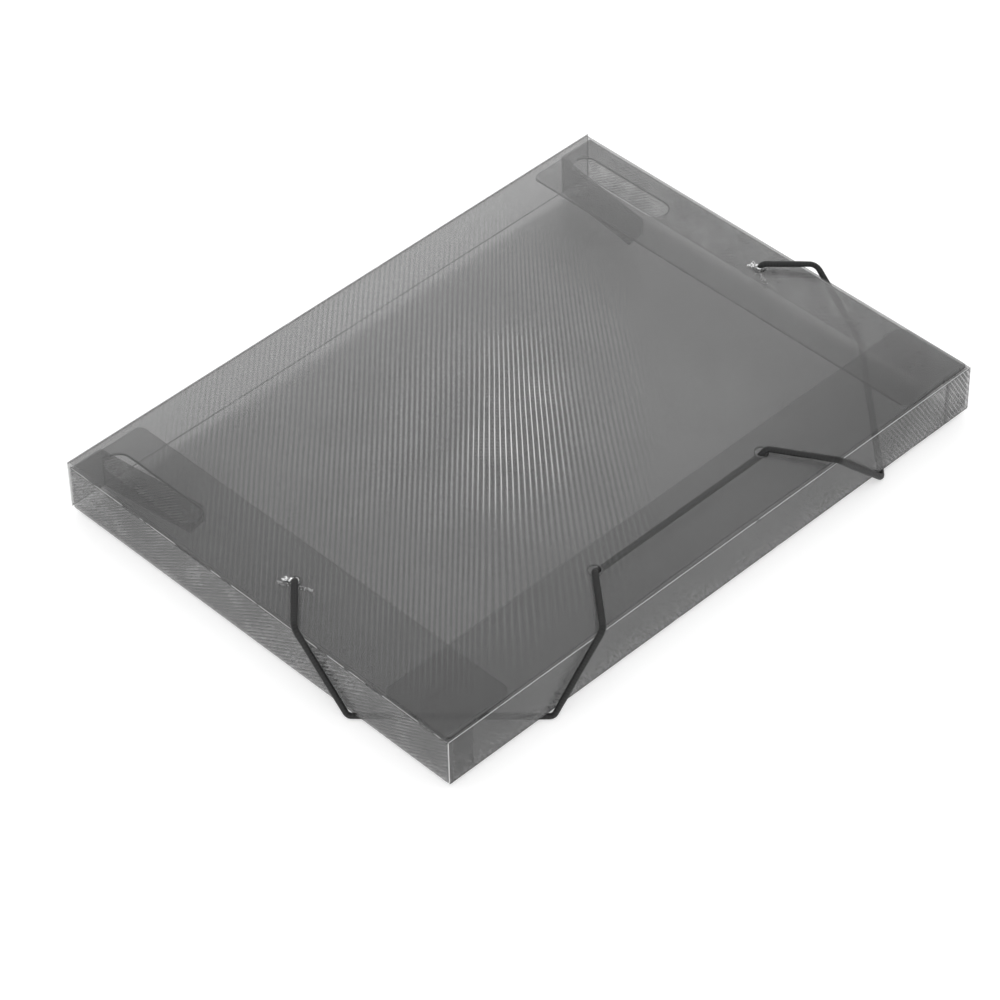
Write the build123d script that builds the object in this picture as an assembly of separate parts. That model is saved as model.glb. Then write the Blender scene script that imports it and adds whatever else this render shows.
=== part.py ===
"""Elastic file box: a folded sheet box for papers, held shut by one elastic cord.

The case is folded from one die-cut sheet of smoke-grey polypropylene. Each panel between
two creases is a solid of its own, and each crease that bends in use is a thin round bead.
Millimetres, +X to the right, +Y to the spine, +Z up. The origin is the middle of the
underside of the whole object, on the surface that it lies on.
"""
from build123d import *
from math import radians, sin
import os

# Sheet and outside of the case
case_length = 335.0
case_depth = 248.0
case_height = 26.5
sheet = 0.7
half_sheet = sheet / 2
running_gap = 0.3
crease_gap = 0.05

# Elastic cord, and how far it stands off the case
cord_diameter = 2.8
cord_radius = cord_diameter / 2
cord_sides = 16
cord_off_wall = cord_radius + running_gap
cord_proud = cord_off_wall + cord_radius
cord_off_lid = cord_radius + 0.2

# Planes of the case
side_face = case_length / 2
back_face = case_depth / 2 + cord_proud / 2
front_face = back_face - case_depth
underside = cord_diameter + running_gap
floor_top = underside + sheet
lid_top = underside + case_height
lid_under = lid_top - sheet

# Crease axes: the middle of the sheet at each bend
spine_axis_y = back_face - half_sheet
front_axis_y = front_face + half_sheet
bottom_axis_z = underside + half_sheet
lid_axis_z = lid_top - half_sheet
front_flap_axis_z = lid_under - running_gap - half_sheet
side_flap_axis_z = front_flap_axis_z - sheet - running_gap
side_flap_axis_x = side_face - half_sheet
panel_end = half_sheet + crease_gap

# Lid: cut a little smaller than the case and bowed up by the cord and the flaps under it
lid_side_inset = 1.0
lid_front_inset = 1.3
lid_bow = 5.5
lid_bow_power = 6
lid_corner_radius = 2.0
lid_grid_half = 8
floor_corner_radius = 3.0

# Flaps
front_flap_width = 41.5
front_flap_corner = 6.0
side_flap_width = 40.5
side_flap_front_room = 2.4
side_flap_back_room = 2.7
side_flap_chamfer = 4.0
slot_width = 13.0
slot_length = 60.0
slot_from_side = 17.0
slot_from_spine = 39.0
latch_size = 20.0
latch_corner = 3.5
latch_slit = 0.5
latch_from_side = 19.5
latch_from_front = 20.5

# Corner tabs and the springy strips that stand in the back corners
front_tab_width = 15.0
back_tab_width = 19.0
tab_bend = 1.2
tab_bend_slack = 0.01
tab_clear = 0.5
strip_length = 62.0
strip_lean = 7.0
strip_nose_run = 10.0
strip_nose_rise = 13.0

# Where the cord goes, measured from the middle of the case and from its front face. It is pulled
# tight, so its bends are as small as the rims and holes that it goes round.
barb_from_middle = 149.0
barb_from_front = 115.5
side_top_from_front = 96.0
side_bottom_from_front = 65.0
front_bottom_from_middle = 106.0
front_top_from_middle = 75.5
eyehole_from_middle = 53.5
eyehole_from_front = 26.0
eyehole_diameter = 6.0
barb_hole_diameter = 5.2
barb_arch = 0.5
dive_run = 3.4
dive_radius = 3.0
side_rim_radius = 6.0
front_rim_radius = 4.5
bottom_radius = 3.0
rim_rise = 2.9

# Metal barbs crimped on the ends of the cord
barb_bar_length = 18.0
barb_turn = 18.0
barb_bar_width = 2.2
barb_bar_height = 1.3
barb_sleeve_diameter = 3.6
barb_sleeve_height = 1.7
barb_above_flap = 0.5

os.makedirs("parts", exist_ok=True)


def slab(x, y, z):
    """A plain plate between two places on each axis, given as (low, high) pairs."""
    size = [high - low for low, high in (x, y, z)]
    middle = [(high + low) / 2 for low, high in (x, y, z)]
    return Pos(*middle) * Box(*size)


def bead(start, end):
    """The rounded fold of a crease: a bead as thick as the sheet, along the crease."""
    run = Vector(*end) - Vector(*start)
    ring = Plane(origin=start, z_dir=run) * Circle(half_sheet)
    return extrude(ring, run.length)


def mirrored(solid):
    """The same piece on the left side of the case."""
    return mirror(solid, about=Plane.YZ)


def bow(x, y):
    """Height of the lid's bow: nothing at its four edges and full over its middle."""
    half_length = side_face - lid_side_inset
    low, high = front_face + lid_front_inset, spine_axis_y - panel_end
    across = abs(x / half_length) ** lid_bow_power
    along = abs((2 * y - low - high) / (high - low)) ** lid_bow_power
    return lid_bow * (1 - across) * (1 - along)


def make_lid():
    """The bowed lid with its two eyeholes for the cord and its two holes for the barbs."""
    half_length = side_face - lid_side_inset
    low, high = front_face + lid_front_inset, spine_axis_y - panel_end
    # The grid is closer near the edges, where the sheet rises fastest
    steps = range(-lid_grid_half, lid_grid_half + 1)
    spread = [sin(radians(90 * step / lid_grid_half)) for step in steps]
    rows = []
    for across in spread:
        x = half_length * across
        row = []
        for along in spread:
            y = (low + high) / 2 + (high - low) / 2 * along
            row.append(Vector(x, y, lid_top + bow(x, y)))
        rows.append(row)
    skin = Face.make_surface_from_array_of_points(rows)
    lid = extrude(skin, amount=sheet, dir=(0, 0, -1))
    lid = fillet(lid.edges().filter_by(Axis.Z), lid_corner_radius)
    for x, y, diameter in lid_holes():
        lid -= Pos(x, y, lid_top) * Cylinder(diameter / 2, 4 * lid_bow)
    return lid


def lid_holes():
    """Place and diameter of the holes in the lid."""
    for side in (-1, 1):
        yield side * eyehole_from_middle, front_face + eyehole_from_front, eyehole_diameter
        yield side * barb_from_middle, front_face + barb_from_front, barb_hole_diameter


def make_side_flap():
    """Right side flap: a long slot near the spine and a small U-cut latch near the front."""
    outer = side_flap_axis_x - panel_end
    inner = outer - side_flap_width
    low = front_axis_y + side_flap_front_room
    high = spine_axis_y - side_flap_back_room
    flap = slab((inner, outer), (low, high), (-half_sheet, half_sheet))
    corners = flap.edges().filter_by(Axis.Z).group_by(Axis.X)[0].sort_by(Axis.Y)
    flap = chamfer(corners[0], side_flap_chamfer)
    back_corner = flap.edges().filter_by(Axis.Z).group_by(Axis.X)[0].sort_by(Axis.Y)[-1]
    flap = fillet(back_corner, side_flap_chamfer)
    slot_place = Pos(side_face - slot_from_side, back_face - slot_from_spine)
    flap -= slot_place * Rot(0, 0, 90) * extrude(SlotOverall(slot_length, slot_width), sheet, both=True)
    latch_place = Pos(side_face - latch_from_side, front_face + latch_from_front)
    wide = RectangleRounded(latch_size, latch_size, latch_corner)
    tongue_size = latch_size - 2 * latch_slit
    narrow = RectangleRounded(tongue_size, tongue_size, latch_corner - latch_slit)
    hinge_side = Pos(0, latch_size / 2) * Rectangle(latch_size, latch_size / 2)
    flap -= latch_place * extrude(wide - narrow - hinge_side, sheet, both=True)
    return Pos(0, 0, side_flap_axis_z) * flap


def make_front_flap():
    """Front flap, over the ends of the side flaps, with rounded inner corners."""
    low = front_axis_y + panel_end
    half_length = side_face - running_gap
    flap = slab((-half_length, half_length), (low, low + front_flap_width), (-half_sheet, half_sheet))
    corners = flap.edges().filter_by(Axis.Z).group_by(Axis.Y)[-1]
    return Pos(0, 0, front_flap_axis_z) * fillet(corners, front_flap_corner)


def make_floor():
    """Bottom of the case, its corners rounded clear of the bent ends of the side walls."""
    half_length = side_face - sheet
    plate = slab(
        (-half_length, half_length),
        (front_axis_y + half_sheet, spine_axis_y - half_sheet),
        (underside, floor_top),
    )
    return fillet(plate.edges().filter_by(Axis.Z), floor_corner_radius)


def make_side_wall():
    """Right side wall, with both ends bent inwards to carry the corner tabs."""
    low = front_face + sheet + running_gap
    high = back_face - sheet - running_gap
    start = (side_face - half_sheet - (tab_bend - half_sheet), low + half_sheet)
    middle_line = FilletPolyline(
        start,
        (side_face - half_sheet, low + half_sheet),
        (side_face - half_sheet, high - half_sheet),
        (start[0], high - half_sheet),
        radius=tab_bend - half_sheet - tab_bend_slack,
    )
    footprint = trace(middle_line, line_width=sheet)
    wall_height = side_flap_axis_z - half_sheet - underside
    return Pos(0, 0, underside) * extrude(footprint, wall_height)


def tab_levels():
    """Bottom and top of the tabs and strips inside the case."""
    return floor_top + tab_clear, side_flap_axis_z - half_sheet - tab_clear


def make_tab(face_y, width):
    """Right corner tab: a panel inside the front or spine wall, bent from the side wall."""
    inner = side_face - width
    return slab((inner, side_face - tab_bend), face_y, tab_levels())


def make_strip(root_y):
    """Springy strip bent forwards from the right back tab, its lower front corner cut off."""
    low, high = tab_levels()
    profile = Polyline(
        (0, high),
        (-strip_length, high),
        (-strip_length, low + strip_nose_rise),
        (strip_nose_run - strip_length, low),
        (0, low),
        close=True,
    )
    upright = Plane(origin=(0, 0, 0), x_dir=(0, 1, 0), z_dir=(1, 0, 0))
    strip = extrude(upright * make_face(profile), sheet)
    root = (side_face - back_tab_width, root_y)
    return Pos(*root) * Rot(0, 0, -strip_lean) * strip


def cord_level(x, y):
    """Height of the cord's middle where it lies on the lid."""
    return lid_top + bow(x, y) + cord_off_lid


def cord_section(start, direction):
    """The cord's section where a run of it starts: a many-sided circle."""
    return Plane(origin=start, z_dir=direction) * RegularPolygon(cord_radius, cord_sides)


def tube(points, radii):
    """A round cord along straight runs joined by tangent arcs."""
    path = FilletPolyline(*points, radius=radii)
    return sweep(cord_section(path @ 0, path % 0), path=path), path.length


def loop_points():
    """Right-hand loop of the cord, from its barb round the corner to its eyehole."""
    barb_x = barb_from_middle
    barb_y = front_face + barb_from_front
    eye_x = eyehole_from_middle
    eye_y = front_face + eyehole_from_front
    wall_x = side_face + cord_off_wall
    wall_y = front_face - cord_off_wall
    rim_level = lid_top + rim_rise
    top_x = front_top_from_middle
    return [
        (barb_x, barb_y, barb_sleeve_top()),
        (barb_x, barb_y, cord_level(barb_x, barb_y) + barb_arch),
        (wall_x, front_face + side_top_from_front, rim_level),
        (wall_x, front_face + side_bottom_from_front, cord_radius),
        (front_bottom_from_middle, wall_y, cord_radius),
        (top_x, wall_y, rim_level),
        (eye_x + dive_run / 2, eye_y - dive_run / 2, cord_level(eye_x, eye_y)),
        (eye_x - dive_run / 2, eye_y, under_lid_level()),
        (eye_x - 2 * dive_run, eye_y, under_lid_level()),
    ]


def under_lid_level():
    """Height of the cord's middle where it runs under the lid."""
    eye_y = front_face + eyehole_from_front
    return lid_under + bow(eyehole_from_middle, eye_y) - cord_off_lid


def barb_sleeve_top():
    """Top of the barb's sleeve, where the cord enters it."""
    bar_low = side_flap_axis_z + half_sheet + barb_above_flap
    return bar_low + barb_bar_height + barb_sleeve_height


def make_barb():
    """Right barb: a flat rounded bar under the lid with the sleeve that grips the cord."""
    top = barb_sleeve_top()
    bar_top = top - barb_sleeve_height
    outline = SlotOverall(barb_bar_length, barb_bar_width)
    bar = Pos(0, 0, bar_top - barb_bar_height) * Rot(0, 0, 90 - barb_turn) * extrude(outline, barb_bar_height)
    sleeve = Pos(0, 0, bar_top + barb_sleeve_height / 2) * Cylinder(barb_sleeve_diameter / 2, barb_sleeve_height)
    return Pos(barb_from_middle, front_face + barb_from_front) * (bar + sleeve)


front_tab_face = (front_face + sheet + running_gap, front_face + 2 * sheet + running_gap)
back_tab_face = (back_face - 2 * sheet - running_gap, back_face - sheet - running_gap)

pieces = {
    "base_panel": make_floor(),
    "spine_panel": slab(
        (-side_face, side_face),
        (back_face - sheet, back_face),
        (bottom_axis_z + panel_end, lid_axis_z - half_sheet),
    ),
    "lid_panel": make_lid(),
    "front_wall": slab(
        (-side_face, side_face),
        (front_face, front_face + sheet),
        (bottom_axis_z + panel_end, front_flap_axis_z - half_sheet),
    ),
    "front_flap": make_front_flap(),
    "spine_crease": bead((-side_face, spine_axis_y, bottom_axis_z), (side_face, spine_axis_y, bottom_axis_z)),
    "lid_crease": bead((-side_face, spine_axis_y, lid_axis_z), (side_face, spine_axis_y, lid_axis_z)),
    "front_crease": bead((-side_face, front_axis_y, bottom_axis_z), (side_face, front_axis_y, bottom_axis_z)),
    "front_flap_crease": bead(
        (-side_face, front_axis_y, front_flap_axis_z), (side_face, front_axis_y, front_flap_axis_z)
    ),
}

# Pieces that come in right and left pairs
loop_radii = [
    dive_radius,
    side_rim_radius,
    bottom_radius,
    bottom_radius,
    front_rim_radius,
    dive_radius,
    dive_radius,
]
loop, loop_length = tube(loop_points(), loop_radii)
wall_ends = (front_face + sheet + running_gap + tab_bend, back_face - sheet - running_gap - tab_bend)
pairs = {
    "wall": make_side_wall(),
    "flap": make_side_flap(),
    "flap_crease": bead(
        (side_flap_axis_x, wall_ends[0], side_flap_axis_z), (side_flap_axis_x, wall_ends[1], side_flap_axis_z)
    ),
    "front_tab": make_tab(front_tab_face, front_tab_width),
    "back_tab": make_tab(back_tab_face, back_tab_width),
    "back_strip": make_strip(back_tab_face[0]),
    "elastic_loop": loop,
    "elastic_barb": make_barb(),
}
for name, piece in pairs.items():
    pieces["right_" + name] = piece
    pieces["left_" + name] = mirrored(piece)

# The cord passes under the lid from one eyehole to the other
inner_end = loop_points()[-1]
run_start = (-inner_end[0], inner_end[1], inner_end[2])
middle_run = extrude(cord_section(run_start, (1, 0, 0)), 2 * inner_end[0])
pieces["elastic_middle_run"] = middle_run
print("cord length", round(2 * loop_length + 2 * inner_end[0], 1), "mm")
print("radii of the loop's bends", loop_radii, "mm")

for name, piece in pieces.items():
    export_step(piece, "parts/" + name + ".step")
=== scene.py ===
"""Elastic file box of smoke-grey translucent sheet: the looks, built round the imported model."""
from math import pi, radians

import bpy
import numpy as np
from mathutils import Matrix, Vector


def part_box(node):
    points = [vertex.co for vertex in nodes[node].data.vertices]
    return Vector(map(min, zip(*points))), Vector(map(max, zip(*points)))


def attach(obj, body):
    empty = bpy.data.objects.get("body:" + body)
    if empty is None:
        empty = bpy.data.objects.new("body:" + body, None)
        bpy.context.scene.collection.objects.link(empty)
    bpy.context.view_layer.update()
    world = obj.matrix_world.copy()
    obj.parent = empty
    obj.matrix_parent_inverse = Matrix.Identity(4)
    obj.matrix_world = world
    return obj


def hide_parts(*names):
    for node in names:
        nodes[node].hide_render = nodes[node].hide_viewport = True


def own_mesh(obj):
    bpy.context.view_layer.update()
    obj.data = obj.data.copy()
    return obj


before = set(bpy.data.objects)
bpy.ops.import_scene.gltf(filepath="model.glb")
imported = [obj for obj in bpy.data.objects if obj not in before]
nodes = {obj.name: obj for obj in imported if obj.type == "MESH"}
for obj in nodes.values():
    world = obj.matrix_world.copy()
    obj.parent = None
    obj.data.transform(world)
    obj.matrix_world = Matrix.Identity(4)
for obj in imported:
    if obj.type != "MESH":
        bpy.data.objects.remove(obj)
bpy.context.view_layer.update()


# Camera. It stands in front of the left corner, 43 degrees up, as far off as its telephoto
# lens needs, so the case's long edges run nearly parallel.
camera_data = bpy.data.cameras.new("camera")
camera_data.sensor_width = 36.0
camera_data.lens = 147.78
camera_data.clip_start = 0.1
camera_place = Vector((-0.97263, -0.99957, 1.27847))
camera_direction = Vector((0.50507, 0.52858, -0.68228))
camera_roll = radians(-1.31)
camera = bpy.data.objects.new("camera", camera_data)
bpy.context.scene.collection.objects.link(camera)
level = camera_direction.to_track_quat("-Z", "Y").to_matrix().to_4x4()
camera.matrix_world = Matrix.Translation(camera_place) @ level @ Matrix.Rotation(camera_roll, 4, "Z")
bpy.context.scene.camera = camera


# Stage: a plain white table top under an even white sky. A broad lamp behind the spine gives the
# lid its sheen, and one in front lifts the walls.
def set_inputs(tree, made, inputs):
    """Gives a node's inputs their values, or links the sockets to them."""
    for name, value in inputs.items():
        if isinstance(value, bpy.types.NodeSocket):
            tree.links.new(value, made.inputs[name])
        else:
            made.inputs[name].default_value = value


def add_node(tree, kind, inputs=None, **settings):
    """One shader node: settings are its properties, inputs are values or sockets to link."""
    made = tree.nodes.new("ShaderNode" + kind)
    for name, value in settings.items():
        setattr(made, name, value)
    set_inputs(tree, made, inputs or {})
    return made


def maths(tree, operation, first, second=0.0, third=0.0):
    """The output of one Math node."""
    return add_node(tree, "Math", {0: first, 1: second, 2: third}, operation=operation).outputs[0]


def blank_material(name):
    """A material with only an output node, its tree and that output."""
    material = bpy.data.materials.new(name)
    material.use_nodes = True
    material.node_tree.nodes.clear()
    return material, material.node_tree, material.node_tree.nodes.new("ShaderNodeOutputMaterial")


def seen_directly(tree):
    """Two masks: where a ray comes from the camera, a reflection or a clear view, and where nothing
    see-through lies on its way."""
    path = add_node(tree, "LightPath")
    direct = maths(tree, "MAXIMUM", path.outputs["Is Camera Ray"], path.outputs["Is Glossy Ray"])
    direct = maths(tree, "MAXIMUM", direct, path.outputs["Is Transmission Ray"])
    return direct, maths(tree, "LESS_THAN", path.outputs["Transparent Depth"], 0.5)


table_half = 3.0
table_white = 0.80
table_lift_open = 0.35
table_lift_under = 0.10
table_mesh = bpy.data.meshes.new("table")
corners = [(-table_half, -table_half, 0), (table_half, -table_half, 0), (table_half, table_half, 0),
           (-table_half, table_half, 0)]
table_mesh.from_pydata(corners, [], [(0, 1, 2, 3)])
table = bpy.data.objects.new("table", table_mesh)
bpy.context.scene.collection.objects.link(table)
material, tree, output = blank_material("table_white")
grain = add_node(tree, "TexNoise", {"Scale": 40.0, "Detail": 2.0})
roughness = add_node(tree, "MapRange", {"Value": grain.outputs[0], "To Min": 0.65, "To Max": 0.75})
paper = add_node(tree, "BsdfPrincipled", {
    "Base Color": (table_white, table_white, table_white, 1), "Roughness": roughness.outputs[0],
    "Specular IOR Level": 0.2})
direct, in_the_open = seen_directly(tree)
lift_level = add_node(tree, "MapRange", {
    "Value": in_the_open, "To Min": table_lift_under, "To Max": table_lift_open})
lift = add_node(tree, "Emission", {"Strength": maths(tree, "MULTIPLY", direct, lift_level.outputs[0])})
both = add_node(tree, "AddShader", {0: paper.outputs[0], 1: lift.outputs[0]})
tree.links.new(both.outputs[0], output.inputs["Surface"])
table_mesh.materials.append(material)

world = bpy.data.worlds.new("studio")
world.use_nodes = True
world.node_tree.nodes.clear()
sky = add_node(world.node_tree, "Background", {"Color": (1, 1, 1, 1), "Strength": 0.95})
world_output = world.node_tree.nodes.new("ShaderNodeOutputWorld")
world.node_tree.links.new(sky.outputs[0], world_output.inputs["Surface"])
bpy.context.scene.world = world


def soft_lamp(name, place, aim, size, power):
    """A square area lamp at a place, turned to shine at a point."""
    data = bpy.data.lights.new(name, "AREA")
    data.shape = "SQUARE"
    data.size = size
    data.energy = power
    lamp = bpy.data.objects.new(name, data)
    lamp.location = place
    lamp.rotation_euler = (Vector(aim) - Vector(place)).to_track_quat("-Z", "Y").to_euler()
    bpy.context.scene.collection.objects.link(lamp)


soft_lamp("lamp_behind", (2.0, 2.0, 1.5), aim=(0, 0, 0), size=1.4, power=9.0)
soft_lamp("lamp_front", (-1.5, -1.6, 0.9), aim=(0, 0, 0), size=1.4, power=17.0)

view = bpy.context.scene.view_settings
view.view_transform = "Standard"
# The folded sheets lie up to seven deep on one line of sight, each with two faces
bpy.context.scene.cycles.transparent_max_bounces = 40


# Lid: a panel of 0.7 mm polypropylene sheet, creased to the spine along its back edge. It is cut
# a little smaller than the case, the flaps under it bow it upwards, and four holes take the cord.
def new_group(name, inputs, outputs):
    """A shader node group with the named sockets, its tree, and its input and output nodes."""
    group = bpy.data.node_groups.new(name, "ShaderNodeTree")
    for socket, kind, value in inputs:
        made = group.interface.new_socket(socket, in_out="INPUT", socket_type="NodeSocket" + kind)
        made.default_value = value
    for socket, kind in outputs:
        group.interface.new_socket(socket, in_out="OUTPUT", socket_type="NodeSocket" + kind)
    return group, group.nodes.new("NodeGroupInput"), group.nodes.new("NodeGroupOutput")


def use_group(tree, group, inputs):
    """A node that places a group in a tree, with its inputs set or linked."""
    made = tree.nodes.new("ShaderNodeGroup")
    made.node_tree = group
    set_inputs(tree, made, inputs)
    return made


def between(tree, value, low, high, first=0.0, last=1.0):
    """value from low to high drawn out to first and last, and held there beyond."""
    return add_node(tree, "MapRange", {"Value": value, "From Min": low, "From Max": high, "To Min": first,
                                       "To Max": last}, interpolation_type="SMOOTHSTEP").outputs[0]


def along(tree, place, direction):
    """How far a place lies along a direction."""
    return add_node(tree, "VectorMath", {0: place, 1: direction}, operation="DOT_PRODUCT").outputs["Value"]


def noise(tree, place, scale, detail):
    """The level of a cloudy noise at a place, 0.5 on average."""
    return add_node(tree, "TexNoise", {"Vector": place, "Scale": scale, "Detail": detail}).outputs[0]


line_spacing = 0.00235
cross_spacing = 0.0022
line_wander = 0.6
line_fan = 2.0
fan_start = -0.020
line_glint, line_shade = (0.76, 1.0), (0.66, 0.15)
cross_glint, cross_shade = (0.75, 1.0), (0.4, 0.0, 0.0, 0.4)
cross_relief = 0.3


def embossed_lines_group():
    """Two sets of fine raised lines, each a sine of the distance across it, bent by a noise. Past
    fan_start the first set fans out, as its distance across grows with the distance along it.
    Glint is where the ridges catch the light, Shade the valleys between them and Height their
    relief. The second set shows only in patches, as strongly as Crossed says."""
    group, given, result = new_group(
        "embossed_lines",
        [("Vector", "Vector", (0, 0, 0)), ("Across", "Vector", (1, 0, 0)), ("Crossing", "Vector", (0, 1, 0)),
         ("Shown", "Float", 0.0), ("Crossed", "Float", 0.4)],
        [("Glint", "Float"), ("Shade", "Float"), ("Height", "Float")])
    place, shown = given.outputs["Vector"], given.outputs["Shown"]
    bent = noise(group, place, scale=14.0, detail=1.0)
    fan = maths(group, "MULTIPLY", along(group, place, given.outputs["Crossing"]), line_fan)
    levels = []
    for direction, spacing in (("Across", line_spacing), ("Crossing", cross_spacing)):
        across = along(group, place, given.outputs[direction])
        if direction == "Across":
            past_start = maths(group, "MAXIMUM", maths(group, "SUBTRACT", across, fan_start), 0.0)
            across = maths(group, "MULTIPLY_ADD", past_start, fan, across)
        turns = maths(group, "MULTIPLY_ADD", bent, line_wander, maths(group, "DIVIDE", across, spacing))
        wave = maths(group, "SINE", maths(group, "MULTIPLY", turns, 2 * pi))
        levels.append(maths(group, "MULTIPLY_ADD", wave, 0.5, 0.5))
    lines, crosses = levels
    patches = between(group, noise(group, place, scale=30.0, detail=1.0), 0.42, 0.58)
    crossed = maths(group, "MULTIPLY", patches, given.outputs["Crossed"])
    ridges = maths(group, "MULTIPLY", between(group, crosses, *cross_glint), crossed)
    glint = maths(group, "MAXIMUM", between(group, lines, *line_glint), ridges)
    group.links.new(maths(group, "MULTIPLY", glint, shown), result.inputs["Glint"])
    valleys = maths(group, "MULTIPLY", between(group, crosses, *cross_shade), crossed)
    shade = maths(group, "MAXIMUM", between(group, lines, *line_shade), valleys)
    shade = maths(group, "MULTIPLY", shade, maths(group, "SUBTRACT", 1.0, ridges))
    group.links.new(maths(group, "MULTIPLY", shade, shown), result.inputs["Shade"])
    group.links.new(maths(group, "MULTIPLY_ADD", crosses, cross_relief, lines), result.inputs["Height"])
    return group


def cut_edge_group():
    """1 on the narrow cut edges of a flat sheet, 0 on its faces. Edgewise has a 1 for each axis that
    a cut edge faces."""
    group, given, result = new_group("cut_edge", [("Edgewise", "Vector", (1, 1, 0))], [("Edge", "Float")])
    normal = add_node(group, "TexCoord").outputs["Normal"]
    outward = add_node(group, "VectorMath", {0: normal}, operation="ABSOLUTE").outputs[0]
    facing = along(group, outward, given.outputs["Edgewise"])
    group.links.new(between(group, facing, 0.5, 0.75), result.inputs["Edge"])
    return group


grain_middle, grain_reach = 0.50, 0.14


def drawn_grain_group():
    """The sheet's drawn grain, a noise stretched along one direction. Spark and Dip mark its highest
    and lowest places, where a glint and a shade are painted; Height is its relief, and Tone a slow
    change over the sheet."""
    group, given, result = new_group(
        "drawn_grain",
        [("Vector", "Vector", (0, 0, 0)), ("Along", "Vector", (1, 0, 0)), ("Across", "Vector", (0, 1, 0)),
         ("Length", "Float", 0.003), ("Width", "Float", 0.001)],
        [("Height", "Float"), ("Spark", "Float"), ("Dip", "Float"), ("Tone", "Float")])
    place = given.outputs["Vector"]
    lengths = maths(group, "DIVIDE", along(group, place, given.outputs["Along"]), given.outputs["Length"])
    widths = maths(group, "DIVIDE", along(group, place, given.outputs["Across"]), given.outputs["Width"])
    spread = add_node(group, "CombineXYZ", {0: lengths, 1: widths}).outputs[0]
    fine = noise(group, spread, scale=1.0, detail=2.0)
    group.links.new(fine, result.inputs["Height"])
    group.links.new(between(group, fine, grain_middle, grain_middle + grain_reach), result.inputs["Spark"])
    group.links.new(between(group, fine, grain_middle, grain_middle - grain_reach), result.inputs["Dip"])
    group.links.new(noise(group, place, scale=14.0, detail=2.0), result.inputs["Tone"])
    return group


embossed_lines = embossed_lines_group()
cut_edge = cut_edge_group()
drawn_grain = drawn_grain_group()
sheet_smoke = (0.028, 0.042)
sheet_opacity = 0.265
sheet_ior = 1.6
# glint_tone and spark_tone paint highlights into the colour; dark_tone paints shade and darkens the dark
# drawn lines
glint_tone, spark_tone, dark_tone = 0.8, 0.20, -0.85
lit_opacity, dark_opacity = 0.30, 0.58
grain_weight = 0.5


def nothing(tree, place):
    """A mask that leaves everything out."""
    return maths(tree, "MULTIPLY", 0.0, 0.0)


def sheet_material(name, edgewise, lines, grain, relief, edge, shown=nothing, sparkle=nothing,
                   drawn=nothing):
    """Smoke-grey film that lets most light through. edgewise has a 1 for each axis that its cut
    edges face. lines holds the ways that its two sets of lines are spaced and how much the second
    shows, grain the ways along and across its grain and the grain's length and width, relief the
    depths of both, and edge the tone and opacity of its cut edges. shown, sparkle and drawn build,
    from a place, the masks of the painted highlight and shade on its lines, of the painted glints
    and shade on its grain, and of its dark drawn lines."""
    material, tree, output = blank_material(name)
    place = add_node(tree, "TexCoord").outputs["Object"]
    fine = use_group(tree, drawn_grain, {
        "Vector": place, "Along": grain[0], "Across": grain[1], "Length": grain[2],
        "Width": grain[3]}).outputs
    embossed = use_group(tree, embossed_lines, {
        "Vector": place, "Across": lines[0], "Crossing": lines[1], "Crossed": lines[2],
        "Shown": shown(tree, place)}).outputs
    cut = use_group(tree, cut_edge, {"Edgewise": edgewise}).outputs["Edge"]
    # Where the sparkle mask allows, the grain's high places get a painted glint and its dips a painted shade
    grain_light_mask = sparkle(tree, place)
    spark = maths(tree, "MULTIPLY", fine["Spark"], grain_light_mask)
    dip_shade = maths(tree, "MULTIPLY", fine["Dip"], grain_light_mask)
    # dark holds the painted shade of the grain's dips and the lines' valleys, and the dark drawn lines
    dark = maths(tree, "MAXIMUM", maths(tree, "MULTIPLY", dip_shade, grain_weight), embossed["Shade"])
    dark = maths(tree, "MAXIMUM", dark, drawn(tree, place))
    tone = between(tree, fine["Tone"], 0.3, 0.7, sheet_smoke[0], sheet_smoke[1])
    # Painted highlights: the lines' glints and the grain's sparks lighten the colour and thicken the film
    tone = maths(tree, "MULTIPLY_ADD", embossed["Glint"], glint_tone, tone)
    tone = maths(tree, "MULTIPLY_ADD", spark, spark_tone, tone)
    tone = maths(tree, "MULTIPLY", tone, maths(tree, "MULTIPLY_ADD", dark, dark_tone, 1.0))
    bright = maths(tree, "MAXIMUM", embossed["Glint"], maths(tree, "MULTIPLY", spark, grain_weight))
    opacity = maths(tree, "MULTIPLY_ADD", bright, lit_opacity, sheet_opacity)
    opacity = maths(tree, "MULTIPLY_ADD", dark, dark_opacity, opacity)
    colour = add_node(tree, "Mix", {"Factor": cut, "A": tone, "B": edge[0]}, data_type="FLOAT")
    solid = add_node(tree, "Mix", {"Factor": cut, "A": opacity, "B": edge[1]}, data_type="FLOAT")
    height = maths(tree, "MULTIPLY", embossed["Height"], relief[0])
    height = maths(tree, "MULTIPLY_ADD", fine["Height"], relief[1], height)
    bump = add_node(tree, "Bump", {"Strength": 1.0, "Distance": 1.0, "Height": height})
    shader = add_node(tree, "BsdfPrincipled", {
        "Base Color": colour.outputs[0], "Roughness": between(tree, fine["Height"], 0.2, 0.8, 0.24, 0.40),
        "IOR": sheet_ior, "Specular IOR Level": 1.0, "Alpha": solid.outputs[0], "Normal": bump.outputs[0]})
    tree.links.new(shader.outputs[0], output.inputs["Surface"])
    return material


def set_material(piece, material):
    """The piece's one material."""
    piece.data.materials.clear()
    piece.data.materials.append(material)


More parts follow.
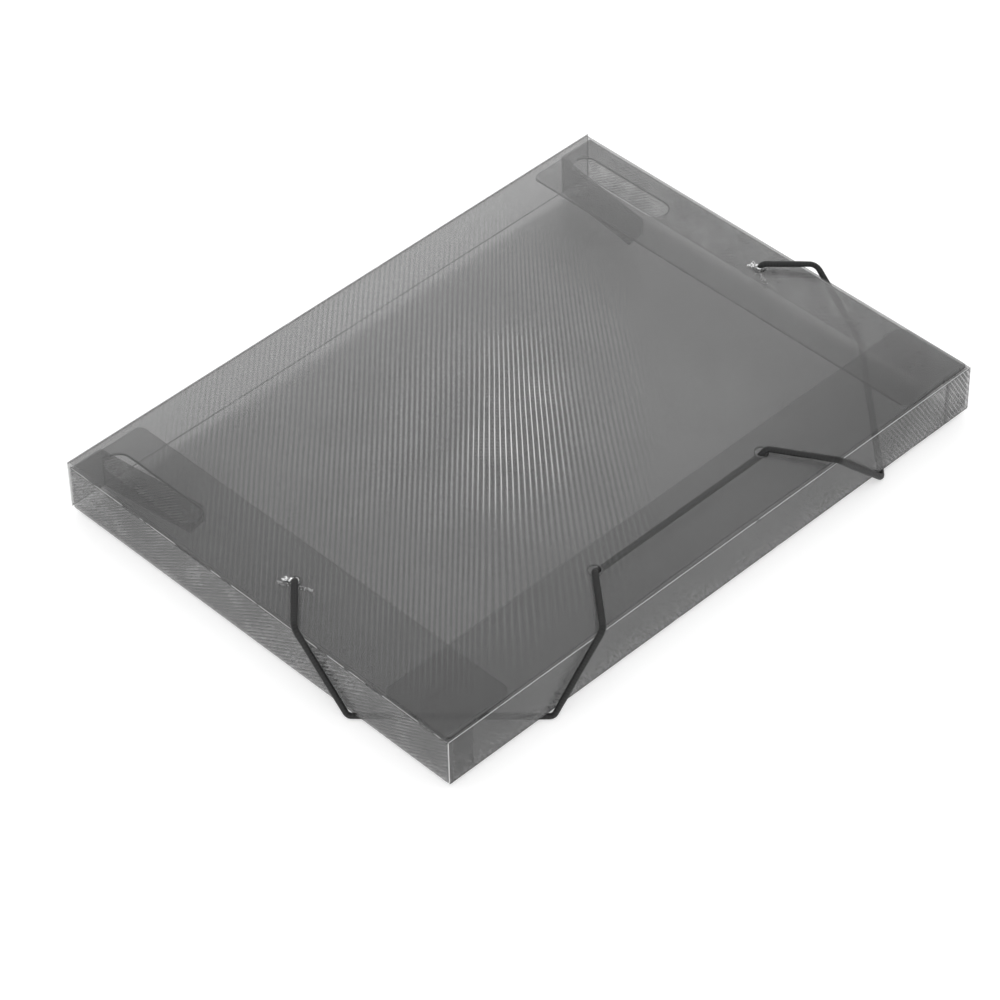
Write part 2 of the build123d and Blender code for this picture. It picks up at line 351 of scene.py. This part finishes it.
diagonal = (0.7071, -0.7071, 0)
other_diagonal = (0.7071, 0.7071, 0)
flat_edges = (1, 1, 0)
lid_low, lid_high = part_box("lid_panel")
sheet = 0.0007
lid_level = 0.0296
lid_bow, bow_power = 0.0055, 6
edge_lift, lift_power, lift_half = 0.0011, 8, 0.078
eyehole, eyehole_radius = (0.0535, lid_low.y + 0.0247), 0.0030
barb_hole, barb_hole_radius = (0.1490, lid_low.y + 0.1142), 0.0026
right_holes = ((*eyehole, eyehole_radius), (*barb_hole, barb_hole_radius))
lid_holes = [(side * x, y, radius) for side in (-1, 1) for x, y, radius in right_holes]


def lid_surface(x, y):
    """Height of the lid's top: the bow falls off with the sixth power of the distance from the
    middle, along and across, and the free front edge lifts a little between the cord's two loops."""
    across = np.abs(x / lid_high.x) ** bow_power
    # -1 at the front edge and 1 at the back one
    back = (2 * y - lid_low.y - lid_high.y) / (lid_high.y - lid_low.y)
    bow = lid_bow * (1 - across) * (1 - np.abs(back) ** bow_power)
    lift = np.clip(-back, 0, 1) ** lift_power * np.clip(1 - (x / lift_half) ** 2, 0, 1) ** 2
    return lid_level + bow + edge_lift * lift


def crowded(half, count):
    """Distances from minus half to half that crowd towards both ends as a sine does."""
    return half * np.sin(np.linspace(-pi / 2, pi / 2, count))


def lid_mesh():
    """A grid whose lines crowd towards the edges. Its front corners are rounded by the
    square-to-disc map, and a square of cells round each hole gives way to shrinking rings."""
    columns, rows = 120, 96
    middle_y, half_y = (lid_high.y + lid_low.y) / 2, (lid_high.y - lid_low.y) / 2
    x, y = np.meshgrid(crowded(lid_high.x, columns + 1), middle_y + crowded(half_y, rows + 1))
    # The front corners
    corner = 0.0022
    beyond_x = np.clip((np.abs(x) - lid_high.x + corner) / corner, 0, 1)
    beyond_y = np.clip((lid_low.y + corner - y) / corner, 0, 1)
    x = x - np.sign(x) * corner * beyond_x * (1 - np.sqrt(1 - beyond_y ** 2 / 2))
    y = y + corner * beyond_y * (1 - np.sqrt(1 - beyond_x ** 2 / 2))
    index = np.arange(x.size).reshape(x.shape)
    keep = np.ones((rows, columns), bool)
    points = [np.stack([x.ravel(), y.ravel()], 1)]
    # Round each hole, how many cells the square reaches each way and how many rings fill it
    reach, rings = 2, 5
    count = x.size
    ring_faces = []
    for hole_x, hole_y, radius in lid_holes:
        column = int(np.abs(x[rows // 2] - hole_x).argmin())
        row = int(np.abs(y[:, columns // 2] - hole_y).argmin())
        square = index[row - reach:row + reach + 1, column - reach:column + reach + 1]
        keep[row - reach:row + reach, column - reach:column + reach] = False
        loop = np.concatenate([square[0, :-1], square[:-1, -1], square[-1, :0:-1], square[:0:-1, 0]])
        outer = points[0][loop]
        away = outer - (hole_x, hole_y)
        rim = (hole_x, hole_y) + radius * away / np.linalg.norm(away, axis=1, keepdims=True)
        shares = (np.arange(1, rings + 1) / rings)[:, None, None]
        points.append(((1 - shares) * outer + shares * rim).reshape(-1, 2))
        levels = np.vstack([loop, count + np.arange(rings * len(loop)).reshape(rings, -1)])
        count += rings * len(loop)
        after = np.roll(levels, -1, axis=1)
        ring_faces.append(np.stack([levels[:-1], after[:-1], after[1:], levels[1:]], 2).reshape(-1, 4))
    cells = np.stack([index[:-1, :-1], index[:-1, 1:], index[1:, 1:], index[1:, :-1]], 2)[keep]
    flat = np.concatenate(points)
    faces = np.concatenate([cells] + ring_faces)
    # The points that no face uses any more go
    used = np.unique(faces)
    renumber = np.zeros(len(flat), int)
    renumber[used] = np.arange(len(used))
    flat, faces = flat[used], renumber[faces]
    height = lid_surface(flat[:, 0], flat[:, 1])
    mesh = bpy.data.meshes.new("lid_sheet")
    mesh.from_pydata(np.column_stack([flat, height]).tolist(), [], faces.tolist())
    return mesh


def add_piece(mesh):
    """A new object of a mesh, smooth shaded, at the origin."""
    mesh.shade_smooth()
    piece = bpy.data.objects.new(mesh.name, mesh)
    bpy.context.scene.collection.objects.link(piece)
    return piece


def thicken(piece, thickness):
    """Gives a surface the sheet's thickness, downwards, and takes the sharpness off its cut edges."""
    wall = piece.modifiers.new("thickness", "SOLIDIFY")
    wall.thickness = thickness
    wall.offset = -1
    wall.use_even_offset = True
    ease = piece.modifiers.new("cut_edge", "BEVEL")
    ease.width = 0.0001
    ease.segments = 2
    ease.limit_method = "ANGLE"
    ease.angle_limit = radians(50)
    ease.harden_normals = True


raggedness = 0.5


def oval_mask(tree, place, centre, radii, full, gone):
    """1 inside an oval on the lid and 0 outside it, with a ragged change between. The oval's axes
    lie along the two diagonals, and centre and radii are measured along them."""
    reach = 0.0
    for way, middle, radius in zip((diagonal, other_diagonal), centre, radii):
        share = maths(tree, "DIVIDE", maths(tree, "SUBTRACT", along(tree, place, way), middle), radius)
        reach = maths(tree, "MULTIPLY_ADD", share, share, reach)
    cloud = maths(tree, "SUBTRACT", noise(tree, place, scale=20.0, detail=2.0), 0.5)
    reach = maths(tree, "MULTIPLY_ADD", cloud, raggedness, maths(tree, "SQRT", reach))
    return between(tree, reach, gone, full)


def lid_line_light_and_shade(tree, place):
    """Painted highlight and shade on the lines: strongest in an oval over the open middle of the case, and
    fainter round it.
    """
    bright = oval_mask(tree, place, centre=(-0.004, -0.008), radii=(0.034, 0.085), full=0.2, gone=1.0)
    strong = oval_mask(tree, place, centre=(-0.020, -0.015), radii=(0.095, 0.150), full=0.2, gone=1.0)
    faint = oval_mask(tree, place, centre=(-0.060, -0.010), radii=(0.130, 0.190), full=0.4, gone=1.0)
    shown = maths(tree, "MULTIPLY_ADD", faint, 0.16, maths(tree, "MULTIPLY", strong, 0.30))
    patches = between(tree, noise(tree, place, scale=35.0, detail=2.0), 0.38, 0.58, 0.6, 1.0)
    shown = maths(tree, "MULTIPLY", shown, patches)
    return maths(tree, "MULTIPLY_ADD", bright, 0.60, shown)


def lid_drawn_lines(tree, place):
    """Dark rims round the four holes, and a dark line along the front edge, which thickens towards
    the corners."""
    apart = add_node(tree, "SeparateXYZ", {0: place})
    out_x, back_y = maths(tree, "ABSOLUTE", apart.outputs["X"]), apart.outputs["Y"]
    folded = add_node(tree, "CombineXYZ", {0: out_x, 1: back_y}).outputs[0]
    dark = 0.0
    for hole_x, hole_y, radius in right_holes:
        away = add_node(tree, "VectorMath", {0: folded, 1: (hole_x, hole_y, 0)}, operation="DISTANCE")
        rim = between(tree, away.outputs["Value"], radius + 0.0009, radius + 0.0002)
        dark = maths(tree, "MAXIMUM", dark, rim)
    width = between(tree, out_x, 0.115, lid_high.x, 0.0, 0.0014)
    inward = maths(tree, "SUBTRACT", maths(tree, "SUBTRACT", back_y, lid_low.y), width)
    return maths(tree, "MAXIMUM", dark, between(tree, inward, 0.0005, -0.0001))


lid = add_piece(lid_mesh())
thicken(lid, sheet)
set_material(lid, sheet_material(
    "smoke_sheet_lid", edgewise=flat_edges, lines=(diagonal, other_diagonal, 0.22),
    grain=(other_diagonal, diagonal, 0.006, 0.0012), relief=(0.000012, 0.000006), edge=(0.04, 0.45),
    shown=lid_line_light_and_shade, drawn=lid_drawn_lines))
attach(lid, "lid")
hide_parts("lid_panel")


# Bottom and flaps: flat panels of the same die-cut sheet, creased to the walls. Towards the case's
# corners, where the folds draw the sheet, the flaps' grain gets painted glints and shade, and all the
# panels get a faint painted highlight and shade on their lines. The side flaps' latches hinge on a score.
def corner_grain_light_and_shade(tree, place):
    """Painted glints and shade on the grain, growing towards the two ends of the case."""
    apart = add_node(tree, "SeparateXYZ", {0: place})
    return between(tree, maths(tree, "ABSOLUTE", apart.outputs["X"]), 0.115, 0.165, 0.0, 0.10)


def faint_line_light_and_shade(tree, place):
    """A faint painted highlight and shade on the flat panels' own lines."""
    return between(tree, noise(tree, place, scale=16.0, detail=1.0), 0.5, 0.65, 0.0, 0.06)


def line_at(tree, value, middle, full, gone, strength=1.0):
    """The mask of a line: strength within full of a middle value, fading to 0 at gone."""
    off = maths(tree, "ABSOLUTE", maths(tree, "SUBTRACT", value, middle))
    return between(tree, off, gone, full, 0.0, strength)


inner_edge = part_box("right_flap")[0].x
latch_middle, latch_half = 0.1480, 0.0100
latch_hinge = -0.0968
slot_middle = (0.1505, 0.08655)
slot_radius, slot_straight = 0.0065, 0.0235


def flap_drawn_lines(tree, place):
    """The scored line across the root of each latch, and the dark cut edges that face left, beside
    each slot and along the right flap."""
    apart = add_node(tree, "SeparateXYZ", {0: place})
    right_x, back_y = apart.outputs["X"], apart.outputs["Y"]
    out_x = maths(tree, "ABSOLUTE", right_x)
    score = maths(tree, "MULTIPLY", line_at(tree, back_y, latch_hinge, full=0.0002, gone=0.0006),
                  line_at(tree, out_x, latch_middle, full=latch_half - 0.0005, gone=latch_half, strength=0.5))
    off_slot = maths(tree, "SUBTRACT", out_x, slot_middle[0])
    off_middle = maths(tree, "ABSOLUTE", maths(tree, "SUBTRACT", back_y, slot_middle[1]))
    past_straight = maths(tree, "MAXIMUM", maths(tree, "SUBTRACT", off_middle, slot_straight), 0.0)
    reach = add_node(tree, "CombineXYZ", {0: off_slot, 1: past_straight}).outputs[0]
    from_slot = add_node(tree, "VectorMath", {0: reach}, operation="LENGTH").outputs["Value"]
    rightwards = maths(tree, "MULTIPLY", off_slot, maths(tree, "SIGN", right_x))
    slot = maths(tree, "MULTIPLY", between(tree, from_slot, slot_radius + 0.0009, slot_radius + 0.0004),
                 between(tree, rightwards, 0.0, 0.001))
    edge = line_at(tree, right_x, inner_edge, full=0.0003, gone=0.0008)
    return maths(tree, "MAXIMUM", maths(tree, "MAXIMUM", score, slot), edge)


flat_grain = (other_diagonal, diagonal, 0.003, 0.0009)
flat_lines = (other_diagonal, diagonal, 0.4)
flap_relief = (0.000010, 0.000012)
flap_edge = (0.03, 0.35)
base_sheet = sheet_material(
    "smoke_sheet_base", edgewise=flat_edges, lines=flat_lines, grain=flat_grain,
    relief=(0.000010, 0.00002), edge=(0.05, 0.15), shown=faint_line_light_and_shade)
flap_sheet = sheet_material(
    "smoke_sheet_flap", edgewise=flat_edges, lines=flat_lines, grain=flat_grain, relief=flap_relief,
    edge=flap_edge, shown=faint_line_light_and_shade, sparkle=corner_grain_light_and_shade, drawn=flap_drawn_lines)
front_flap_sheet = sheet_material(
    "smoke_sheet_front_flap", edgewise=flat_edges, lines=flat_lines, grain=flat_grain,
    relief=flap_relief, edge=flap_edge, shown=faint_line_light_and_shade, sparkle=corner_grain_light_and_shade)
set_material(nodes["base_panel"], base_sheet)
set_material(nodes["front_flap"], front_flap_sheet)
for name in ("left_flap", "right_flap"):
    set_material(nodes[name], flap_sheet)


# Walls, corner tabs and springy strips: narrow panels of the same sheet, folded upright. The front
# wall's slanting lines get a painted highlight and shade towards its right end, and its grain gets
# painted glints and shade along its bottom fold. The side walls' lines and grain get them all over.
def right_end_line_light_and_shade(tree, place):
    """Painted highlight and shade on the lines: grows towards the right end, and again over the tab behind
    it, in patches.
    """
    right_x = add_node(tree, "SeparateXYZ", {0: place}).outputs["X"]
    end = maths(tree, "ADD", between(tree, right_x, 0.075, 0.135, 0.0, 0.30),
                between(tree, right_x, 0.150, 0.156, 0.0, 0.30))
    patches = between(tree, noise(tree, place, scale=45.0, detail=1.0), 0.35, 0.6, 0.5, 1.0)
    return maths(tree, "MULTIPLY", end, patches)


def low_grain_light_and_shade(tree, place):
    """Painted glints and shade on the grain: strongest along the bottom fold and at the right end."""
    apart = add_node(tree, "SeparateXYZ", {0: place})
    low = between(tree, apart.outputs["Z"], 0.024, 0.006, 0.20, 0.90)
    return maths(tree, "MAXIMUM", low, between(tree, apart.outputs["X"], 0.10, 0.165, 0.0, 0.5))


def side_grain_light_and_shade(tree, place):
    """Painted glints and shade on the grain: all over, in stronger and weaker patches."""
    return between(tree, noise(tree, place, scale=30.0, detail=1.0), 0.4, 0.6, 0.40, 0.80)


def side_ripple_light_and_shade(tree, place):
    """Painted highlight and shade on the side walls' lines, which show as fine ripples, in patches."""
    return between(tree, noise(tree, place, scale=60.0, detail=2.0), 0.35, 0.65, 0.16, 0.46)


tab_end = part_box("right_front_tab")[0].x


def front_drawn_lines(tree, place):
    """A dark band beside the front wall's left end, with a shade that falls off from it, and a dark
    line where the right tab behind the wall ends."""
    right_x = add_node(tree, "SeparateXYZ", {0: place}).outputs["X"]
    from_left = maths(tree, "ADD", right_x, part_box("front_wall")[1].x)
    band = between(tree, from_left, 0.0040, 0.0012, 0.0, 0.9)
    band = maths(tree, "MAXIMUM", band, between(tree, right_x, -0.080, -0.160, 0.0, 0.12))
    return maths(tree, "MAXIMUM", band, line_at(tree, right_x, tab_end, full=0.0004, gone=0.0011))


front_lines = ((0.7071, 0, 0.7071), (0.7071, 0, -0.7071), 0.9)
# A way longer than 1 packs its lines closer
side_lines = ((0, 0.60, 1.19), (0, 1.25, -0.40), 0.5)
front_grain = ((0.645, 0, -0.764), (0.764, 0, 0.645), 0.0024, 0.0012)
side_wall_grain = ((0, 0.848, -0.53), (0, 0.53, 0.848), 0.0050, 0.0013)
# The front wall's, spine's and side walls' cut edges are painted pale: a painted highlight of the light the
# sheet gathers at its edges
front_sheet = sheet_material(
    "smoke_sheet_front", edgewise=(1, 0, 0), lines=front_lines, grain=front_grain,
    relief=(0.00004, 0.00008), edge=(0.6, 0.8), shown=right_end_line_light_and_shade, sparkle=low_grain_light_and_shade,
    drawn=front_drawn_lines)
side_sheet = sheet_material(
    "smoke_sheet_side", edgewise=(0, 1, 0), lines=side_lines, grain=side_wall_grain,
    relief=(0.00003, 0.00004), edge=(0.30, 0.5), shown=side_ripple_light_and_shade, sparkle=side_grain_light_and_shade)
tab_sheet = sheet_material(
    "smoke_sheet_tab", edgewise=(1, 0, 0), lines=front_lines, grain=front_grain,
    relief=(0.00002, 0.00004), edge=(0.05, 0.3))
spine_sheet = sheet_material(
    "smoke_sheet_spine", edgewise=(1, 0, 0), lines=front_lines, grain=front_grain,
    relief=(0.00003, 0.00002), edge=(0.6, 0.8))
set_material(nodes["front_wall"], front_sheet)
set_material(nodes["spine_panel"], spine_sheet)
for name in ("left_wall", "right_wall", "left_back_strip", "right_back_strip"):
    set_material(nodes[name], side_sheet)
for name in ("left_front_tab", "right_front_tab", "left_back_tab", "right_back_tab"):
    set_material(nodes[name], tab_sheet)


# Creases: the sheet is pressed thin along each fold. The folds of the front and side flaps get a
# painted highlight along their tops, broken in places by a noise; the others get only a faint one and hardly
# show.
crease_tone, crease_opacity, lit_opacity_gain = 0.04, 0.15, 0.6


def crease_material(name, lit_way, brightness, break_level):
    """A fold with a painted highlight where it points the lit way, broken in places by a noise, and
    dark elsewhere.
    """
    material, tree, output = blank_material(name)
    place = add_node(tree, "TexCoord").outputs["Object"]
    kept = between(tree, noise(tree, place, scale=90.0, detail=3.0), break_level, break_level + 0.12)
    normal = add_node(tree, "TexCoord").outputs["Normal"]
    lit = maths(tree, "MULTIPLY", between(tree, along(tree, normal, lit_way), 0.80, 0.93), kept)
    tone = maths(tree, "MULTIPLY_ADD", lit, brightness, crease_tone)
    shader = add_node(tree, "BsdfPrincipled", {
        "Base Color": tone, "Roughness": 0.3, "IOR": 1.5,
        "Alpha": maths(tree, "MULTIPLY_ADD", lit, lit_opacity_gain, crease_opacity)})
    tree.links.new(shader.outputs[0], output.inputs["Surface"])
    return material


front_crease_lit = crease_material(
    "crease_highlight_front", lit_way=(0, -0.35, 0.937), brightness=0.45, break_level=0.24)
side_crease_lit = crease_material(
    "crease_highlight_side", lit_way=(-0.35, 0, 0.937), brightness=0.40, break_level=0.42)
plain_crease = crease_material("plain_crease", lit_way=(0, 0, 1), brightness=0.05, break_level=0.30)
set_material(nodes["front_flap_crease"], front_crease_lit)
for name in ("left_flap_crease", "right_flap_crease"):
    set_material(nodes[name], side_crease_lit)
for name in ("spine_crease", "lid_crease", "front_crease"):
    set_material(nodes[name], plain_crease)


# Elastic cord: a rubber core in a black braided cover, pulled tight. Each end leaves a barb, goes
# over the side of the case, under its bottom and up its front, and dives through an eyehole.
cord_radius = 0.0014
cord_off_wall = 0.0017
cord_gap = 0.0002
cord_end = 0.0311
front_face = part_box("front_wall")[0].y
side_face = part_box("front_wall")[1].x
rim_level = lid_level + 0.0029


def bow_at(x, y):
    """Height of the lid at one place."""
    return float(lid_surface(np.array(x), np.array(y)))


def loop_route(side, side_top, side_bottom, front_bottom, front_top):
    """The points of one loop, from its barb to the run under the lid, and the radii of its bends.
    The four places are distances from the front of the case and from its middle."""
    wall_x, wall_y = side_face + cord_off_wall, front_face - cord_off_wall
    eye_x, eye_y = eyehole
    dive = 0.0034
    above = bow_at(eye_x, eye_y) + cord_radius + cord_gap
    below = bow_at(eye_x, eye_y) - sheet - cord_radius - cord_gap
    points = [
        (barb_hole[0], barb_hole[1], cord_end),
        (barb_hole[0], barb_hole[1], bow_at(*barb_hole) + cord_radius + 0.0007),
        (wall_x, front_face + side_top, rim_level),
        (wall_x, front_face + side_bottom, cord_radius),
        (front_bottom, wall_y, cord_radius),
        (front_top, wall_y, rim_level),
        (eye_x + dive / 2, eye_y - dive / 2, above),
        (eye_x - dive / 2, eye_y, below),
        (eye_x - 2 * dive, eye_y, below)]
    radii = (0.003, 0.006, 0.003, 0.003, 0.0045, 0.003, 0.003)
    return [(side * x, y, z) for x, y, z in points], radii


def tight_path(points, radii, spacing):
    """Even steps along straight runs joined by tangent arcs, and how far along each step is."""
    points = np.array(points)
    stretches = [points[:1]]
    for before, corner, after, radius in zip(points[:-2], points[1:-1], points[2:], radii):
        back = (before - corner) / np.linalg.norm(before - corner)
        ahead = (after - corner) / np.linalg.norm(after - corner)
        half = np.arccos(back @ ahead) / 2
        centre = corner + (back + ahead) / np.linalg.norm(back + ahead) * radius / np.sin(half)
        first = corner + back * radius / np.tan(half) - centre
        last = corner + ahead * radius / np.tan(half) - centre
        turn = pi - 2 * half
        share = np.linspace(0, 1, 17)[:, None]
        bend = (np.sin((1 - share) * turn) * first + np.sin(share * turn) * last) / np.sin(turn)
        stretches.append(centre + bend)
    stretches.append(points[-1:])
    line = np.concatenate(stretches)
    lengths = np.concatenate([[0], np.cumsum(np.linalg.norm(np.diff(line, axis=0), axis=1))])
    steps = np.linspace(0, lengths[-1], int(lengths[-1] / spacing) + 1)
    return np.column_stack([np.interp(steps, lengths, line[:, axis]) for axis in range(3)]), steps


def unit(vectors):
    """The same directions, one long."""
    return vectors / np.linalg.norm(vectors, axis=1, keepdims=True)


def swept_mesh(name, path, steps, side, up, wide, high, sides=20):
    """An oval tube round a path, wide along side and high along up, with flat closed ends. Its
    uv map holds the length along it and the turn round it."""
    turn = np.linspace(0, 2 * pi, sides, endpoint=False)
    ring = (np.cos(turn)[None, :, None] * (side * wide[:, None])[:, None]
            + np.sin(turn)[None, :, None] * (up * high[:, None])[:, None])
    points = (path[:, None] + ring).reshape(-1, 3)
    index = np.arange(len(points)).reshape(len(path), sides)
    after = np.roll(index, -1, axis=1)
    walls = np.stack([index[:-1], after[:-1], after[1:], index[1:]], 2).reshape(-1, 4)
    ends = [index[0, ::-1].tolist(), index[-1].tolist()]
    mesh = bpy.data.meshes.new(name)
    mesh.from_pydata(points.tolist(), [], walls.tolist() + ends)
    before = np.broadcast_to(steps[:-1, None], (len(path) - 1, sides))
    beyond = np.broadcast_to(steps[1:, None], before.shape)
    start = np.broadcast_to(np.arange(sides) / sides, before.shape)
    end = start + 1 / sides
    pairs = ((before, start), (before, end), (beyond, end), (beyond, start))
    corners = np.stack([np.stack(pair, 2) for pair in pairs], 2).reshape(-1, 2)
    caps = np.zeros((2 * sides, 2))
    layer = mesh.uv_layers.new(name="cord")
    layer.uv.foreach_set("vector", np.concatenate([corners, caps]).ravel())
    return mesh


def cord_mesh(name, points, radii):
    """A length of cord, a little wider than thick, and most so on the lid. Its flat side lies on the
    nearest face of the case. Its size wavers by the product of two sines of the length along it."""
    path, steps = tight_path(points, radii, spacing=0.0006)
    tangent = unit(np.gradient(path, axis=0))
    inset = 0.004
    core_low = (-side_face + inset, front_face + inset, 2 * inset)
    core_high = (side_face - inset, -front_face, lid_level - inset)
    outward = path - np.clip(path, core_low, core_high)
    # A slight lean keeps this off the cord's own way
    outward[:, 0] += 0.001 * np.sign(path[:, 0])
    side = unit(np.cross(tangent, outward))
    up = np.cross(side, tangent)
    on_lid = np.clip((path[:, 2] - lid_level) / 0.002, 0, 1)
    size = cord_radius * (1 + 0.02 * np.sin(steps / 0.0047) * np.sin(steps / 0.0113))
    return swept_mesh(name, path, steps, side, up, size * 1.15, size * (1 - 0.06 * on_lid))


def braid_material():
    """Two sets of yarns wound opposite ways, told by the cord's own length and turn."""
    material, tree, output = blank_material("braided_cover")
    apart = add_node(tree, "SeparateXYZ", {0: add_node(tree, "UVMap", uv_map="cord").outputs[0]})
    pitch, yarns = 0.0030, 8
    turns = maths(tree, "DIVIDE", apart.outputs["X"], pitch)
    round_turns = maths(tree, "MULTIPLY", apart.outputs["Y"], yarns)
    woven = 1.0
    for operation in ("ADD", "SUBTRACT"):
        winding = maths(tree, "MULTIPLY", maths(tree, operation, turns, round_turns), 2 * pi)
        woven = maths(tree, "MULTIPLY", woven, maths(tree, "SINE", winding))
    woven = maths(tree, "MULTIPLY_ADD", woven, 0.5, 0.5)
    bump = add_node(tree, "Bump", {"Strength": 0.8, "Distance": 0.0002, "Height": woven})
    # Two or more sheets over the cord blur it into what lies behind
    layers = add_node(tree, "LightPath").outputs["Transparent Depth"]
    shader = add_node(tree, "BsdfPrincipled", {
        "Base Color": between(tree, woven, 0.0, 1.0, 0.006, 0.020), "Roughness": 0.42,
        "Specular IOR Level": 0.25, "Sheen Weight": 0.04, "Sheen Roughness": 0.35,
        "Alpha": between(tree, layers, 2.0, 4.5, 1.0, 0.25), "Normal": bump.outputs[0]})
    tree.links.new(shader.outputs[0], output.inputs["Surface"])
    return material


braid = braid_material()
# In the photo the two loops lie a few mm differently
loop_places = {
    "left": (-1, (0.0942, 0.0620, 0.1070, 0.0765)),
    "right": (1, (0.0977, 0.0675, 0.1055, 0.0745))}
for name, (side, places) in loop_places.items():
    points, radii = loop_route(side, *places)
    loop = add_piece(cord_mesh(name + "_cord_loop", points, radii))
    set_material(loop, braid)
    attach(loop, "lid")
    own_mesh(loop)
    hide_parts(name + "_elastic_loop")
inner = points[-1]
run = add_piece(cord_mesh("cord_under_lid", [(-inner[0], inner[1], inner[2]), inner], []))
set_material(run, braid)
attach(run, "lid")
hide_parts("elastic_middle_run")


# Barbs: bars of bright plated steel with rounded ends, each with a sleeve crimped in two places on
# an end of the cord. The bar lies under the lid, where it can't turn back through its hole, and the
# sleeve's ear lies on top.
def barb_material():
    """Bright plated steel, dulled in patches."""
    material, tree, output = blank_material("plated_barb")
    place = add_node(tree, "TexCoord").outputs["Object"]
    dull = noise(tree, place, scale=900.0, detail=3.0)
    shader = add_node(tree, "BsdfPrincipled", {
        "Base Color": between(tree, dull, 0.42, 0.56, 0.25, 0.92), "Metallic": 1.0,
        "Roughness": between(tree, dull, 0.3, 0.7, 0.15, 0.35)})
    tree.links.new(shader.outputs[0], output.inputs["Surface"])
    return material


upwards = np.array((0, 0, 1.0))
bar_level = 0.02875


def round_off(share):
    """How wide a round end is where it has come this share of its radius, with a blunt tip."""
    return np.sqrt(np.clip(1 - share ** 2, 0.0025, 1))


def bar_mesh(name, place, side):
    """A swept oval under the lid, a little flatter than wide, its back end turned outwards. Both its
    ends are drawn in round."""
    half_length, half_width, turned = 0.00925, 0.0009, radians(26)
    run = crowded(half_length, 41)
    way = np.array((side * np.sin(turned), np.cos(turned), 0))
    from_end = np.clip((half_length - np.abs(run)) / half_width, 0, 1)
    width = half_width * round_off(1 - from_end)
    path = place + bar_level * upwards + run[:, None] * way
    return swept_mesh(name, path, run, np.cross(way, upwards), upwards, width, 0.8 * width, sides=16)


def sleeve_mesh(name, place):
    """A round tube from the bar up through the lid. Its radius follows two waves of a cosine, so it
    has a waist at each crimp, and both ends close down to the cord."""
    mean_radius, crimp = 0.00175, 0.00015
    top = bow_at(*barb_hole) + 0.0006
    climb = np.linspace(bar_level, top, 33)
    radius = mean_radius + crimp * np.cos((climb - bar_level) / (top - bar_level) * 4 * pi)
    radius[[0, -1]] = cord_radius
    path = place + climb[:, None] * upwards
    return swept_mesh(name, path, climb, np.array((1.0, 0, 0)), np.array((0, 1.0, 0)), radius, radius)


def ear_mesh(name, place, side):
    """The sleeve's ear, a strip hammered flat on the lid. Sines of the length along it dent its
    outline and raise and lower it."""
    half_length, half_width, half_height = 0.0026, 0.0013, 0.0005
    from_hole = 0.0034
    out = crowded(half_length, 49)
    way = np.array((-0.61, 0.79, 0))
    dents = 1 + 0.25 * np.sin(out / 0.00042 + side) + 0.15 * np.sin(out / 0.00023)
    outline = round_off(out / 0.00262) * dents
    level = bow_at(*barb_hole) + 0.0008 + 0.0002 * np.sin(out / 0.0005)
    path = place + (out + from_hole)[:, None] * way + level[:, None] * upwards
    return swept_mesh(name, path, out, np.cross(way, upwards), upwards, half_width * outline,
                      half_height * outline, sides=16)


def barb_meshes(name, side):
    """The bar, the sleeve and the ear of the barb over one hole."""
    place = np.array((side * barb_hole[0], barb_hole[1], 0.0))
    sleeve = sleeve_mesh(name + "_sleeve", place)
    return bar_mesh(name, place, side), sleeve, ear_mesh(name + "_ear", place, side)


plated = barb_material()
for name, side in (("left", -1), ("right", 1)):
    pieces = [add_piece(mesh) for mesh in barb_meshes(name + "_barb", side)]
    for piece in pieces:
        set_material(piece, plated)
        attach(piece, "lid")
    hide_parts(name + "_elastic_barb")
